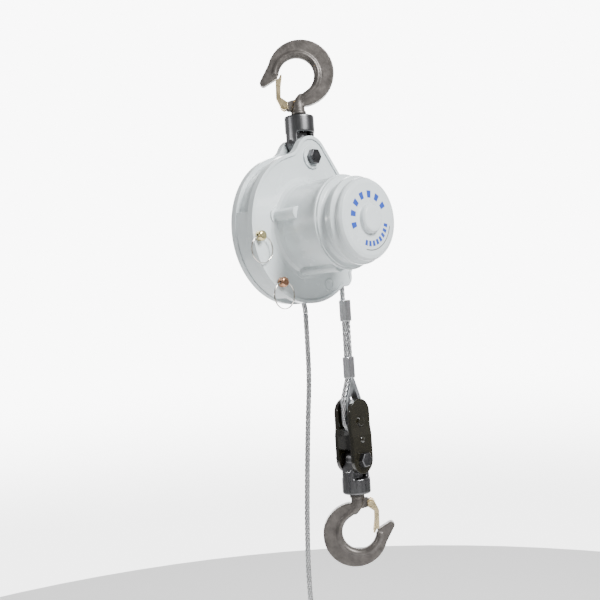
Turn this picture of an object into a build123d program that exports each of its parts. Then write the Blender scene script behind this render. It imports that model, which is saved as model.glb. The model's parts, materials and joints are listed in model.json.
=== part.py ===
from build123d import *
import math
import os

# Wire rope puller: an endless rope winch that hangs from its top hook.  A traction sheave between
# two casing halves pulls a 5 mm rope; a two-stage planetary gear and a load brake sit in the
# cylinder in front of it, and a hex shaft at the back takes the drive.
# The origin is the seat of the top hook, +Z is up, and the machine axis runs along Y.

# ---------------------------------------------------------------- driving dimensions (mm)
AXIS_X = -11.0  # machine axis, from the hanging line
AXIS_Z = -162.0
ROPE_R = 2.5
GAP = 0.3  # between curved faces of different bodies
RUN = 0.05  # radial clearance of a running fit

DISC_R = 70.0  # both casing plates
PLATE_FRONT = 13.0  # outer faces of the plates, from the rope's plane
PLATE_BACK = -13.0
FRONT_INNER = 7.5  # inner faces of the plates
BACK_INNER = -8.0
WALL_IN = 61.5  # casing wall between the plates
WALL_OUT = 66.0
WALLS = [(-17, 64), (99, 167.5), (283, 316)]  # stretches of the casing wall, in degrees
EAR = (11.0, 66.4)  # ear centre, from the machine axis
EAR_R = 20.0
OUTLET = (46.5, -46.5)  # centre of the lug beside the load rope's way out
OUTLET_R = 9.5
BOLT_R = 4.0  # both hex bolts
BOLT_FLATS = 13.0
WALL_SCREW_R = 2.0
WALL_SCREW_PCD_R = 63.7
WALL_SCREW_ANGLES = [0, 50, 115, 155, 299]

DRUM_R = 40.0  # gear cylinder
DRUM_END = 63.0
DRUM_IN = 36.5
COVER_FACE = 88.0
KEY_ANGLES = [75, 165, 255, 345]  # ring gear keys, each under a boss on the drum
KEY_R = 2.0
KEY_PCD_R = DRUM_IN - 0.2

SHEAVE_R = 56.0  # rope centre line on the sheave
SHEAVE_RIM = 59.0
BEARING_OUT = 23.5
BEARING_IN = 17.5
BEARING_W = 7.0

MODULE = 1.25
PRESSURE = math.radians(25)
SUN_TEETH = 12
PLANET_TEETH = 18
RING_TEETH = 48
PLANETS = 3
CENTRE_R = MODULE * (SUN_TEETH + PLANET_TEETH) / 2
BACKLASH = 0.12
SHAFT_R = 4.0
PINION_BORE = 4.4
QUILL_R = 5.9  # the first sun's sleeve, which carries the brake
PLANET_PIN_R = 3.0
PLANET_FACE = 12.0
STAGES = {"output": 21.0, "input": 38.0}  # where each stage's planets begin

RATCHET_TEETH = 12
RATCHET_TIP = 24.0
RATCHET_ROOT = 20.5
PAWL_PIVOT = (22.2, -18.6)
PAWL_PIN_R = 2.0
PAWL_TURNS = {"right": 0.0, "left": 180.0}

GUIDE_FROM = 168.0  # angles of the removable rope guide
GUIDE_TO = 247.0
PIN_ANGLES = {"upper": 187.3, "lower": 231.5}
PIN_PCD_R = 63.0
PIN_R = 2.2
HEAD_R = 4.6
RING_FRONT = 17.0  # plane of the pull rings
RING_HOLE_R = 1.45
RING_MEAN_R = 12.2
RING_WIRE_R = 0.8
RING_DROP = 11.75
ROLLER_R = 4.4
ROLLER_PIN_R = 1.8
ROLLER_PCD_R = SHEAVE_R + ROPE_R + GAP + ROLLER_R
ROLLER_ANGLE = 207.0

HOOK_IN = 16.6  # hook bowl
BEAD_R = 20.5  # centre line of the bead round the bowl
LATCH_PIVOT = (-12.0, -28.0)
LATCH_PIN_R = 1.5
SHANK_R = 5.0
SHANK_REACH = 23.5  # from the collar's outer end, through the yoke, to the shank's end
NUT_R = 6.8
COLLAR_TO_BOWL = 38.5
YOKE_R = 14.0
TONGUE = 14.0  # thickness of a yoke's tongue
TOP_STEM = 24.5  # from a yoke's bolt to its collar
TOP_COLLAR = 16.0
LOWER_STEM = 18.5
LOWER_COLLAR = 15.0

LOAD_X = 56.0  # load rope, from the machine axis
LOOP_X = LOAD_X + ROPE_R + 0.1  # middle of the two strands
EYE_TOP = -146.0
EYE_BOTTOM = -198.0
EYE_HALF = 11.0
EYE_SHOULDER = -167.0  # where the eye's legs turn parallel
EYE_RADII = (12.0, 14.0, 10.9)  # at the ferrule, the shoulders and the bottom
FERRULES = [(-69.0, -90.0), (-125.0, -146.0)]
THIMBLE_Z = -188.0
THIMBLE_PIN_R = 5.0
THIMBLE_PIN_NECK = 3.0
PLATE_HALF = 14.0
PLATE_TOP = -166.0
LINK_BOLT_Z = -225.5

LEAVE_ANGLE = 253.5  # where the free rope leaves the sheave
TAIL_X = 3.0
TAIL = [  # along the hooks' plane from the exit, and height from the machine axis
    (0, -108), (-0.6, -142), (-4.4, -182), (-8.0, -228), (-11.2, -276), (-13.0, -320), (-12.4, -362),
    (-4.0, -386), (14.0, -400), (36.0, -404),
]
COIL_R = 30.0  # mean radius of the coil's turns
COIL_SECTION_R = 16.0

FACING = Vector(1, -1, 0).normalized()  # both hooks lie in the plane of this direction and Z
HOOK_NORMAL = Vector(-1, -1, 0).normalized()


# ---------------------------------------------------------------- helpers
def front_plane(front, x=0.0, z=0.0):
    """A plane facing the front of the machine, at a distance in front of the rope's plane."""
    return Plane(origin=(AXIS_X + x, -front, AXIS_Z + z), x_dir=(1, 0, 0), z_dir=(0, -1, 0))


AXIAL = Plane(origin=(AXIS_X, 0, AXIS_Z), x_dir=(1, 0, 0), z_dir=(0, 0, 1))
MACHINE_AXIS = Axis((AXIS_X, 0, AXIS_Z), (0, -1, 0))


def polar(radius, degrees):
    """The point at an angle on a circle round the machine axis."""
    return (radius * math.cos(math.radians(degrees)), radius * math.sin(math.radians(degrees)))


def save(part, label):
    """Names a finished piece and writes it."""
    part.label = label
    export_step(part, f"parts/{label}.step")


def turned(outline):
    """A body of revolution about the machine axis, from (radius, front) points."""
    with BuildPart() as body:
        with BuildSketch(AXIAL):
            with BuildLine():
                Polyline([(radius, -front) for radius, front in outline], close=True)
            make_face()
        revolve(axis=MACHINE_AXIS)
    return body.part


def drilled(part, radius, places, front, depth):
    """A part with holes cut backwards from a front plane."""
    with BuildPart() as holed:
        add(part)
        with BuildSketch(front_plane(front)):
            with Locations(*places):
                Circle(radius)
        extrude(amount=-depth, mode=Mode.SUBTRACT)
    return holed.part


def involute(angle):
    return math.tan(angle) - angle


def tooth_face(teeth, root, tip, slack):
    """One involute gear tooth, centred on the X axis, from inside the root circle to the tip."""
    pitch = MODULE * teeth / 2
    base = pitch * math.cos(PRESSURE)
    half = math.pi / (2 * teeth) - slack / (2 * pitch) + involute(PRESSURE)
    start = max(base, root) + 0.001
    radii = [start + (tip - start) * step / 4 for step in range(5)]
    turns = [half - involute(math.acos(min(1.0, base / radius))) for radius in radii]
    upper = [(r * math.cos(a), r * math.sin(a)) for r, a in zip(radii, turns)]
    lower = [(x, -y) for x, y in upper]
    foot = (root * 0.96 * math.cos(turns[0]), root * 0.96 * math.sin(turns[0]))
    with BuildSketch() as tooth:
        with BuildLine():
            Spline(*upper)
            Spline(*lower)
            ThreePointArc(upper[-1], (tip, 0), lower[-1])
            Line(upper[0], foot)
            Line(foot, (foot[0], -foot[1]))
            Line((foot[0], -foot[1]), lower[0])
        make_face()
    return tooth.sketch


def gear_face(teeth, root, tip, phase=0.0, slack=BACKLASH / 2):
    """A whole gear profile, with a tooth at the angle phase."""
    tooth = tooth_face(teeth, root, tip, slack)
    with BuildSketch() as gear:
        Circle(root)
        with PolarLocations(0, teeth, start_angle=phase):
            add(tooth)
    return gear.sketch


def hexagon(across_flats):
    """A hexagon of a size given across its flats."""
    return RegularPolygon(across_flats / math.sqrt(3), 6)


# ---------------------------------------------------------------- casing
def casing_outline(radius=DISC_R, ear_r=EAR_R):
    """The outline of both plates: a disc with an ear and a small lug beside the load rope's way out."""
    reach = math.hypot(*EAR)
    lean = math.atan2(EAR[1], EAR[0]) - math.acos((radius - ear_r) / reach)
    on_disc = (radius * math.cos(lean), radius * math.sin(lean))
    on_ear = (EAR[0] + ear_r * math.cos(lean), EAR[1] + ear_r * math.sin(lean))
    with BuildSketch() as flank:
        with BuildLine():
            Polyline((0, 0), on_disc, on_ear, EAR, close=True)
        make_face()
    with BuildSketch() as outline:
        Circle(radius)
        with Locations(EAR):
            Circle(ear_r)
        with Locations(OUTLET):
            Circle(OUTLET_R)
        add(flank.sketch)
        inner_corner = [v for v in outline.vertices() if v.X < EAR[0] and v.Y > 0.8 * radius]
        fillet(inner_corner, radius=16)
        fillet([v for v in outline.vertices() if v.Y < OUTLET[1] / 2], radius=4)
    return outline.sketch


def wall_sector(inner, outer, start, end):
    """A ring sector between two angles."""
    with BuildSketch() as sector:
        with BuildLine():
            low = CenterArc((0, 0), inner, start, end - start)
            high = CenterArc((0, 0), outer, start, end - start)
            Line(low @ 0, high @ 0)
            Line(low @ 1, high @ 1)
        make_face()
    return sector.sketch


def extruded(face, front, back, x=0.0, z=0.0):
    """A face on the machine's front plane, extruded between two distances."""
    with BuildPart() as body:
        with BuildSketch(front_plane(back, x, z)):
            add(face)
        extrude(amount=front - back)
    return body.part


def edge_band(outline, width):
    """The band along the edge of an outline."""
    with BuildSketch() as band:
        add(outline)
        offset(outline, amount=-width, mode=Mode.SUBTRACT)
    return band.sketch


def make_front_casing():
    """Front plate, ear and gear cylinder in one casting."""
    outline = casing_outline()
    drum = turned([
        (BEARING_OUT, FRONT_INNER), (47, FRONT_INNER), (47, PLATE_FRONT), (43.5, 14.0), (41.2, 16.5),
        (DRUM_R, 21), (DRUM_R, 58), (41.4, 59.2), (42.4, 60.2), (42.4, 62.4), (41.8, DRUM_END),
        (DRUM_IN, DRUM_END), (DRUM_IN, 16), (21, 16), (21, 14.2), (BEARING_OUT, 14.2),
    ])
    with BuildPart() as casing:
        add(extruded(outline, PLATE_FRONT, FRONT_INNER))
        add(extruded(edge_band(outline, 3.2), PLATE_FRONT + 1.1, PLATE_FRONT - 0.1))
        with BuildSketch(front_plane(14.4)):
            with Locations(EAR):
                Circle(11)
        extrude(amount=-1.5)
        for angle in KEY_ANGLES:
            boss = front_plane(PLATE_FRONT - 0.1, *polar(DRUM_R - 0.5, angle))
            with BuildSketch(boss):
                Circle(5.6)
            extrude(amount=46 if angle == 255 else 26)
            with BuildSketch(boss):
                Circle(8.5)
            extrude(amount=1.4)
        with BuildSketch(front_plane(PLATE_FRONT - 0.1, *polar(59, 294))):
            Circle(6.0)
            Circle(4.8, mode=Mode.SUBTRACT)
        extrude(amount=0.7)
        with BuildSketch(front_plane(FRONT_INNER - 1)):
            Circle(DRUM_IN)
        extrude(amount=DRUM_END, mode=Mode.SUBTRACT)
        add(drum)
        with BuildSketch(front_plane(16)):
            with Locations(*[polar(KEY_PCD_R, angle) for angle in KEY_ANGLES]):
                Circle(KEY_R)
        extrude(amount=34, mode=Mode.SUBTRACT)
        with BuildSketch(front_plane(PLATE_FRONT + 5)):
            with Locations(EAR):
                Circle(BOLT_R)
            with Locations(*[polar(PIN_PCD_R, angle) for angle in PIN_ANGLES.values()]):
                Circle(PIN_R + RUN)
        extrude(amount=-12, mode=Mode.SUBTRACT)
    save(casing.part, "front_casing")


def make_rear_casing():
    """Rear plate and ear, the wall between the plates and the shaft boss."""
    outline = casing_outline()
    boss = turned([
        (BEARING_OUT, BACK_INNER), (35, BACK_INNER), (35, PLATE_BACK), (31, -14.5), (29, -17.5),
        (28.4, -21.5), (27, -22.5), (7, -22.5), (7, -17.5), (20, -17.5), (20, -15.2), (BEARING_OUT, -15.2),
    ])
    with BuildPart() as casing:
        add(extruded(outline, BACK_INNER, PLATE_BACK))
        add(extruded(edge_band(outline, 3.2), PLATE_BACK + 0.1, PLATE_BACK - 0.8))
        for start, end in WALLS:
            add(extruded(wall_sector(WALL_IN, WALL_OUT, start, end), FRONT_INNER, BACK_INNER - 0.1))
        with BuildSketch(front_plane(PLATE_BACK - 1)):
            Circle(28)
        extrude(amount=8, mode=Mode.SUBTRACT)
        add(boss)
        with BuildSketch(front_plane(PLATE_BACK - 2)):
            with Locations(EAR):
                Circle(BOLT_R)
            with Locations(*[polar(WALL_SCREW_PCD_R, angle) for angle in WALL_SCREW_ANGLES]):
                Circle(WALL_SCREW_R)
        extrude(amount=40, mode=Mode.SUBTRACT)
        with BuildSketch(front_plane(BACK_INNER + 1)):
            with Locations(*[polar(PIN_PCD_R, angle) for angle in PIN_ANGLES.values()]):
                Circle(PIN_R + RUN)
        extrude(amount=-4.8, mode=Mode.SUBTRACT)
    save(casing.part, "rear_casing")


def make_casing_screws():
    """Screws from the back into the wall and the front plate's edge."""
    with BuildPart() as screws:
        for angle in WALL_SCREW_ANGLES:
            at = polar(WALL_SCREW_PCD_R, angle)
            with BuildSketch(front_plane(PLATE_BACK - 4.8, *at)):
                Circle(3.4)
            extrude(amount=4)
            with BuildSketch(front_plane(PLATE_BACK - 4.8, *at)):
                hexagon(3.0)
            extrude(amount=2, mode=Mode.SUBTRACT)
            with BuildSketch(front_plane(PLATE_BACK - 1, *at)):
                Circle(WALL_SCREW_R)
            extrude(amount=FRONT_INNER - PLATE_BACK + 1)
    save(screws.part, "casing_screws")


def make_brake_cover():
    """The stepped cover that closes the gear cylinder."""
    cover = turned([
        (DRUM_IN, 59), (DRUM_IN, DRUM_END), (41.2, DRUM_END), (41.0, 64.8), (37.8, 65.8), (35.8, 67.6),
        (35.7, 71.6), (37.4, 73.4), (38.9, 75.0), (38.9, 77.4), (37.0, 79.0), (35.5, 80.4), (35.5, 82.0),
        (36.4, 83.2), (36.2, 85.0), (34.6, 87.2), (31.4, COVER_FACE), (13.0, COVER_FACE), (12.6, 91.0),
        (11.2, 92.6), (9.4, 93.0),
        (0, 93.0), (0, 84.4), (7, 84.4), (7, 80.4), (10, 80.4), (10, 84.6), (30.4, 84.6), (33.2, 81.5),
        (33.2, 59),
    ])
    save(cover, "brake_cover")


# ---------------------------------------------------------------- rope guide and its pull pins
def make_rope_guide():
    """The removable shoe that keeps the rope in its groove, with a pocket for the pressure roller."""
    with BuildPart() as guide:
        add(extruded(wall_sector(60.0, 69.2, GUIDE_FROM, GUIDE_TO), 7.2, -7.7))
        with BuildSketch(front_plane(9)):
            with Locations(*[polar(PIN_PCD_R, angle) for angle in PIN_ANGLES.values()]):
                Circle(PIN_R + RUN)
            with Locations(polar(ROLLER_PCD_R, ROLLER_ANGLE)):
                Circle(ROLLER_PIN_R)
        extrude(amount=-20, mode=Mode.SUBTRACT)
        with BuildSketch(front_plane(4.2, *polar(ROLLER_PCD_R, ROLLER_ANGLE))):
            Circle(ROLLER_R + 0.7)
        extrude(amount=-8.4, mode=Mode.SUBTRACT)
    save(guide.part, "rope_guide")


def make_pressure_roller():
    """The roller that presses the rope into the sheave, and the pin it runs on."""
    at = polar(ROLLER_PCD_R, ROLLER_ANGLE)
    with BuildPart() as roller:
        with BuildSketch(front_plane(3.9, *at)):
            Circle(ROLLER_R)
            Circle(ROLLER_PIN_R + RUN, mode=Mode.SUBTRACT)
        extrude(amount=-7.8)
    save(roller.part, "pressure_roller")
    with BuildPart() as pin:
        with BuildSketch(front_plane(7.0, *at)):
            Circle(ROLLER_PIN_R)
        extrude(amount=-14.5)
    save(pin.part, "roller_pin")


def make_guide_pin(name, angle):
    """A pull pin with a domed head, drilled across for its ring."""
    at = polar(PIN_PCD_R, angle)
    with BuildPart() as pin:
        with BuildSketch(front_plane(-11.6, *at)):
            Circle(PIN_R)
        extrude(amount=PLATE_FRONT + 13.0)
        with BuildSketch(front_plane(14.3, *at)):
            Circle(HEAD_R)
        extrude(amount=6.0)
        fillet(pin.edges().group_by(Axis.Y)[0], radius=2.2)
        across = Plane(origin=(AXIS_X + at[0], -RING_FRONT, AXIS_Z + at[1]),
                       x_dir=(0, 1, 0), z_dir=(1, 0, 0))
        with BuildSketch(across):
            Circle(RING_HOLE_R)
        extrude(amount=10, both=True, mode=Mode.SUBTRACT)
    save(pin.part, f"guide_pin_{name}")


def make_guide_ring(name, angle):
    """The split ring that hangs in a pull pin's head."""
    x, z = polar(PIN_PCD_R, angle)
    with BuildPart() as ring:
        centre = Plane(origin=(AXIS_X + x, -RING_FRONT, AXIS_Z + z - RING_DROP),
                       x_dir=(1, 0, 0), z_dir=(0, -1, 0))
        with Locations(centre):
            Torus(RING_MEAN_R, RING_WIRE_R)
    save(ring.part, f"guide_ring_{name}")


# ---------------------------------------------------------------- sheave and gears
def spline_face():
    """The splined section that carries the sheave on the output carrier."""
    with BuildSketch() as spline:
        Circle(10.6)
        with PolarLocations(10.6, 6):
            Rectangle(2.8, 4.0)
    return spline.sketch


def make_sheave():
    """The traction sheave: a wedge groove for the rope, two journals and a splined bore."""
    side = 6.5
    wheel = turned([
        (8, -15), (BEARING_IN, -15), (BEARING_IN, -7.9), (22, -7.4), (22, -side), (30, -side + 2.2),
        (50, -side + 2.2), (51, -side), (SHEAVE_RIM - 0.4, -side), (SHEAVE_RIM - 0.4, -3.9), (56, -3.1),
        (53.2, -1.7), (53.2, 1.7), (56, 3.1), (SHEAVE_RIM - 0.4, 3.9), (SHEAVE_RIM - 0.4, side),
        (51, side), (50, side - 2.2), (30, side - 2.2), (22, side), (22, 6.8), (BEARING_IN, 6.9),
        (BEARING_IN, 14), (8, 14),
    ])
    with BuildPart() as sheave:
        add(wheel)
        with BuildSketch(front_plane(-16)):
            add(spline_face())
        extrude(amount=31, mode=Mode.SUBTRACT)
        with BuildSketch(front_plane(-10)):
            with PolarLocations(40, 6):
                Circle(6.5)
        extrude(amount=20, mode=Mode.SUBTRACT)
    save(sheave.part, "sheave")


def make_sheave_bearings():
    """Two ball bearings, one in each casing half."""
    balls = 18
    middle_r = (BEARING_IN + BEARING_OUT) / 2
    with BuildPart() as bearings:
        for back in (7.1, -15.1):
            front = back + BEARING_W
            add(turned([(BEARING_OUT, back), (BEARING_OUT, front), (21.8, front), (21.8, back)]))
            add(turned([(BEARING_IN + RUN, back), (BEARING_IN + RUN, front), (19.2, front), (19.2, back)]))
            middle = back + BEARING_W / 2
            with Locations(*[front_plane(middle, *polar(middle_r, k * 360 / balls)) for k in range(balls)]):
                Sphere(1.22)
    save(bearings.part, "sheave_bearings")


def make_ring_gear():
    """The fixed internal gear that both planet stages roll in."""
    outer = DRUM_IN - 0.1
    tip = MODULE * RING_TEETH / 2 - 1.1
    root = MODULE * RING_TEETH / 2 + 1.5
    spaces = gear_face(RING_TEETH, tip, root, phase=180 / RING_TEETH, slack=-BACKLASH / 2)
    with BuildSketch() as section:
        Circle(outer)
        add(spaces, mode=Mode.SUBTRACT)
        with Locations(*[polar(KEY_PCD_R, angle) for angle in KEY_ANGLES]):
            Circle(KEY_R, mode=Mode.SUBTRACT)
    save(extruded(section.sketch, 53, 17), "ring_gear")
    with BuildPart() as keys:
        for angle in KEY_ANGLES:
            with BuildSketch(front_plane(17, *polar(KEY_PCD_R, angle))):
                Circle(KEY_R)
            extrude(amount=32)
    save(keys.part, "ring_gear_keys")


def make_carriers():
    """The planet carriers, each with its three pins."""
    with BuildPart() as output:
        with BuildSketch(front_plane(16.5)):
            Circle(27)
        extrude(amount=4)
        with BuildSketch(front_plane(-14)):
            add(spline_face())
        extrude(amount=30.5)
        with BuildSketch(front_plane(20.5)):
            with PolarLocations(CENTRE_R, PLANETS):
                Circle(PLANET_PIN_R)
        extrude(amount=PLANET_FACE + 0.8)
        with BuildSketch(front_plane(-15)):
            Circle(SHAFT_R + 0.6)
        extrude(amount=40, mode=Mode.SUBTRACT)
    save(output.part, "output_carrier")
    with BuildPart() as first:
        with BuildSketch(front_plane(34)):
            Circle(27)
        extrude(amount=3.5)
        with BuildSketch(front_plane(37.5)):
            with PolarLocations(CENTRE_R, PLANETS):
                Circle(PLANET_PIN_R)
        extrude(amount=PLANET_FACE + 0.8)
        with BuildSketch(front_plane(33)):
            Circle(QUILL_R)
        extrude(amount=6, mode=Mode.SUBTRACT)
    save(first.part, "input_carrier")


def make_planets():
    """Three planet gears for each stage."""
    pitch = MODULE * PLANET_TEETH / 2
    profile = gear_face(PLANET_TEETH, pitch - 1.55, pitch + MODULE, phase=180 / PLANET_TEETH)
    with BuildSketch() as section:
        add(profile)
        Circle(PLANET_PIN_R + RUN, mode=Mode.SUBTRACT)
    for stage, start in STAGES.items():
        for index in range(PLANETS):
            angle = index * 360 / PLANETS
            turned_face = section.sketch.rotate(Axis.Z, angle)
            gear = extruded(turned_face, start + PLANET_FACE, start, *polar(CENTRE_R, angle))
            save(gear, f"{stage}_planet_{index + 1}")


def make_sun_gears():
    """The output sun on the first carrier, and the first sun with its quill and brake flange."""
    pitch = MODULE * SUN_TEETH / 2
    profile = gear_face(SUN_TEETH, pitch - 1.5, pitch + MODULE)
    for label, start, end, quill_end in (("output_sun", 21.0, 34.0, 37.5), ("input_sun", 38.0, 51.0, 70.0)):
        with BuildPart() as sun:
            add(extruded(profile, end, start))
            with BuildSketch(front_plane(end)):
                Circle(QUILL_R)
            extrude(amount=quill_end - end)
            if label == "input_sun":
                with BuildSketch(front_plane(59)):
                    Circle(20)
                extrude(amount=3)
            with BuildSketch(front_plane(start - 1)):
                Circle(PINION_BORE)
            extrude(amount=60, mode=Mode.SUBTRACT)
        save(sun.part, label)


# ---------------------------------------------------------------- input shaft and load brake
def make_input_shaft():
    """The shaft from the hex drive at the back, through every gear, to the brake driver."""
    with BuildPart() as shaft:
        with BuildSketch(front_plane(-23)):
            Circle(SHAFT_R)
        extrude(amount=107)
        with BuildSketch(front_plane(-25)):
            Circle(7.5)
        extrude(amount=2.3)
        with BuildSketch(front_plane(-52)):
            hexagon(10)
        extrude(amount=27.5)
        chamfer(shaft.edges().group_by(Axis.Y)[-1], length=0.8)
    save(shaft.part, "input_shaft")
    with BuildPart() as bushes:
        for back in (-22.5, 80.4):
            with BuildSketch(front_plane(back)):
                Circle(7)
                Circle(SHAFT_R + RUN, mode=Mode.SUBTRACT)
            extrude(amount=3.9)
    save(bushes.part, "input_bushes")


def make_brake():
    """Brake plate with the pawl pins, friction discs, ratchet wheel and driver."""
    pivots = [Vector(*PAWL_PIVOT, 0).rotate(Axis.Z, turn) for turn in PAWL_TURNS.values()]
    with BuildPart() as plate:
        with BuildSketch(front_plane(54)):
            Circle(DRUM_IN)
            Circle(QUILL_R + RUN, mode=Mode.SUBTRACT)
        extrude(amount=4)
        with BuildSketch(front_plane(58)):
            with Locations(*[(p.X, p.Y) for p in pivots]):
                Circle(PAWL_PIN_R)
        extrude(amount=11)
    save(plate.part, "brake_plate")
    with BuildPart() as discs:
        for back in (62.0, 68.0):
            with BuildSketch(front_plane(back)):
                Circle(19)
                Circle(QUILL_R, mode=Mode.SUBTRACT)
            extrude(amount=1.9)
    save(discs.part, "friction_discs")
    points = []
    for tooth in range(RATCHET_TEETH):
        angle = tooth * 360 / RATCHET_TEETH
        points += [polar(RATCHET_ROOT, angle), polar(RATCHET_TIP, angle)]
    with BuildPart() as ratchet:
        with BuildSketch(front_plane(64.0)):
            with BuildLine():
                Polyline(points, close=True)
            make_face()
            Circle(QUILL_R + RUN, mode=Mode.SUBTRACT)
        extrude(amount=3.9)
    save(ratchet.part, "ratchet_wheel")
    with BuildPart() as driver:
        with BuildSketch(front_plane(70)):
            Circle(20)
        extrude(amount=3)
        with BuildSketch(front_plane(73)):
            Circle(9)
        extrude(amount=6.8)
        with BuildSketch(front_plane(69)):
            Circle(SHAFT_R)
        extrude(amount=12, mode=Mode.SUBTRACT)
    save(driver.part, "brake_driver")


def make_pawls():
    """Two sprung pawls on the brake plate's pins."""
    body = [(21.5, -0.5), (24.4, -0.5), (26.6, -6), (25.6, -16.4), (PAWL_PIVOT[0], PAWL_PIVOT[1]),
            (21.0, -15.6), (22.4, -12.5), (22.1, -8), (21.9, -4)]
    for name, turn in PAWL_TURNS.items():
        with BuildSketch() as outline:
            with BuildLine():
                Polyline(body, close=True)
            make_face()
            with Locations(PAWL_PIVOT):
                Circle(3.6)
                Circle(PAWL_PIN_R + RUN, mode=Mode.SUBTRACT)
        save(extruded(outline.sketch.rotate(Axis.Z, turn), 67.8, 64.2), f"pawl_{name}")


# ---------------------------------------------------------------- yokes, hooks and latches
def yoke_plane(x, z, up=True):
    """A plane on a yoke's bolt axis, facing the front, with its Y towards the hook."""
    sign = 1 if up else -1
    return Plane(origin=(x, 0, z), x_dir=(sign, 0, 0), z_dir=(0, -1, 0))


def make_yoke(plane, stem, collar, label):
    """A swivel yoke: round collar, flat tongue with the bolt hole, and a window for the hook's nut."""
    shoulder = stem - 3
    axis_plane = Plane(origin=plane.from_local_coords((0, -9, 0)), x_dir=plane.x_dir, z_dir=plane.y_dir)
    with BuildPart() as yoke:
        with BuildSketch(plane):
            Circle(8)
            with BuildLine():
                Polyline((-7.7, 2.2), (-YOKE_R, shoulder - 4), (-YOKE_R, stem + 1), (YOKE_R, stem + 1),
                         (YOKE_R, shoulder - 4), (7.7, 2.2), close=True)
            make_face()
        extrude(amount=TONGUE / 2, both=True)
        with BuildSketch(axis_plane):
            Circle(YOKE_R)
        extrude(amount=stem + 12, mode=Mode.INTERSECT)
        with BuildSketch(axis_plane.offset(stem + 9)):
            Circle(YOKE_R)
        extrude(amount=collar)
        top = yoke.faces().sort_by(Axis(axis_plane.origin, axis_plane.z_dir))[-1]
        fillet(top.edges(), radius=1.2)
        with BuildSketch(axis_plane.offset(stem)):
            Circle(SHANK_R + RUN)
        extrude(amount=collar + 12, mode=Mode.SUBTRACT)
        with BuildSketch(plane):
            with Locations((0, stem - 5.6)):
                Rectangle(2 * NUT_R + 1.2, 11.2)
            Circle(BOLT_R + RUN)
        extrude(amount=20, both=True, mode=Mode.SUBTRACT)
    save(yoke.part, label)


def hook_plane(x, z, up=True):
    """A plane through a hook's bowl centre, facing the opening side's viewer, Y away from the shank."""
    sign = 1 if up else -1
    return Plane(origin=(x, 0, z), x_dir=FACING * sign, z_dir=HOOK_NORMAL)


def hook_bead():
    """The centre line of a hook's round inner bead: up from the shank and round the bowl."""
    leave = math.radians(-50)
    touch = (BEAD_R * math.cos(leave), BEAD_R * math.sin(leave))
    heading = (-math.sin(leave), math.cos(leave))
    with BuildLine() as bead:
        Spline((1.2, -30.0), touch, tangents=[(0, 1), heading])
        CenterArc((0, 0), BEAD_R, -50, 226)
    return bead.wires()[0]


def hook_web():
    """The flat outer web and the point of a hook."""
    with BuildSketch() as web:
        with Locations((4.2, 2.0)):
            Circle(31.4)
        with BuildLine():
            Polyline((0, -2), (-19.4, -2.2), (-31, -8.4), (-60, -20), (-60, -60), (3.5, -60), (3.5, -24),
                     (0, -14), close=True)
        make_face(mode=Mode.SUBTRACT)
        with BuildLine():
            Polyline((-23.6, 15.2), (-34.4, -3.6), (-30.0, -8.3), (-19.4, -2.2), (-17, 0.4), (-17, 14),
                     close=True)
        make_face()
        with Locations((-31.6, -5.4)):
            Circle(3.3)
        Circle(HOOK_IN + 1.4, mode=Mode.SUBTRACT)
    return web.sketch


def across_shank(height, x=0.0):
    """A plane across a hook's shank, facing the bowl, at a height from the bowl's centre."""
    return Plane(origin=(x, height, 0), x_dir=(1, 0, 0), z_dir=(0, 1, 0))


def make_hook(plane, label):
    """A swivel hook: round inner bead, flatter outer web, point, latch lug, collar and shank."""
    bead = hook_bead()
    foot = -COLLAR_TO_BOWL
    with BuildPart() as hook:
        with BuildSketch():
            add(hook_web())
        extrude(amount=4.0, both=True)
        with BuildSketch(across_shank(-30.0, 1.2)):
            Ellipse(3.9, 5.6)
        sweep(path=bead)
        with BuildSketch(across_shank(foot + 4)):
            Circle(6.2)
        with BuildSketch(across_shank(-24, 0.8)):
            Ellipse(5.0, 5.7)
        with BuildSketch(across_shank(-17.6, 3.4)):
            Ellipse(2.4, 4.2)
        loft()
        with BuildSketch(across_shank(foot - SHANK_REACH)):
            Circle(SHANK_R)
        extrude(amount=SHANK_REACH + 8)
        with BuildSketch(across_shank(foot + 1.5)):
            Circle(7.2)
        extrude(amount=3.0)
        with BuildSketch():
            with BuildLine():
                Polyline((-12.6, -24.6), (-4, -22.6), (-4, -33.4), (-10, -33.4), (-15.4, -29), close=True)
            make_face()
        extrude(amount=2.2, both=True)
        with BuildSketch():
            with Locations(LATCH_PIVOT):
                Circle(LATCH_PIN_R)
        extrude(amount=8, both=True, mode=Mode.SUBTRACT)
    save(hook.part.moved(plane.location), label)


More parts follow.
